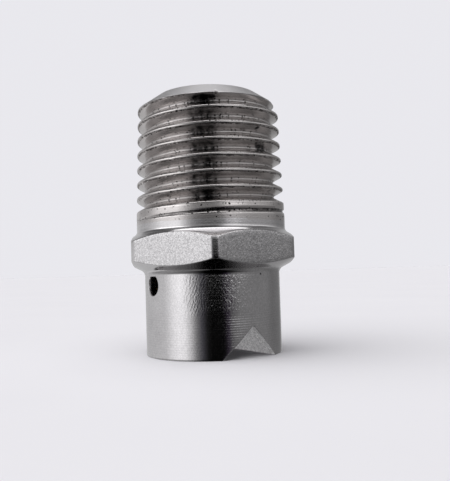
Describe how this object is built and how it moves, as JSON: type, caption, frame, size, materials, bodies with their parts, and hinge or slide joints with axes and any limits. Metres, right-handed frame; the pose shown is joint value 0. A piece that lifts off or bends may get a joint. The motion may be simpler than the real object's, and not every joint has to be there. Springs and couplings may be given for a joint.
{
  "type": "oil burner nozzle",
  "caption": "Flat-jet oil burner nozzle: taper-threaded inlet, thin wrench hexagon, skirt with an air port and a V-grooved outlet, with strainer, check valve and metering jet inside.",
  "frame": {"origin": "centre of the outlet end face, on the nozzle axis", "axes": "+Z along the nozzle axis from the outlet towards the threaded inlet; the V groove runs along Y and the air port opens towards -X; two flats of the hexagon face +Y and -Y"},
  "size_m": [0.0158, 0.014, 0.0233],
  "materials": {
    "stainless_body": "machined stainless steel, satin with fine turning rings",
    "hardened_insert": "ground hard insert, fine satin grey",
    "turned_brass": "turned brass, fine tool rings",
    "copper_seal": "soft copper sealing washer",
    "spring_wire": "drawn stainless spring wire",
    "polished_ball": "polished stainless bearing ball",
    "black_rubber": "matt black fuel-resistant rubber",
    "white_gasket": "pressed off-white sealing ring",
    "phosphated_spring_steel": "dark phosphated spring steel",
    "wire_cloth": "woven stainless wire cloth"
  },
  "bodies": {
    "body": {"nozzle_body": "stainless_body", "orifice_insert": "hardened_insert", "venturi_tube": "turned_brass", "jet_washer": "copper_seal", "metering_jet": "turned_brass", "spring_cage": "turned_brass", "valve_spring": "spring_wire", "valve_seat": "turned_brass", "seat_o_ring": "black_rubber", "strainer_gasket": "white_gasket", "retaining_ring": "phosphated_spring_steel", "strainer_core": "turned_brass", "strainer_mesh": "wire_cloth", "strainer_cap": "turned_brass"},
    "ball": {"valve_ball": "polished_ball"}
  },
  "joints": [
    {"name": "check_ball_lift", "type": "slide", "parent": "body", "child": "ball", "axis": [0, 0, -1], "range_m": [0, 0.0007], "stiffness_N_per_m": 150, "springref_m": -0.001, "deforming": ["valve_spring"]}
  ]
}
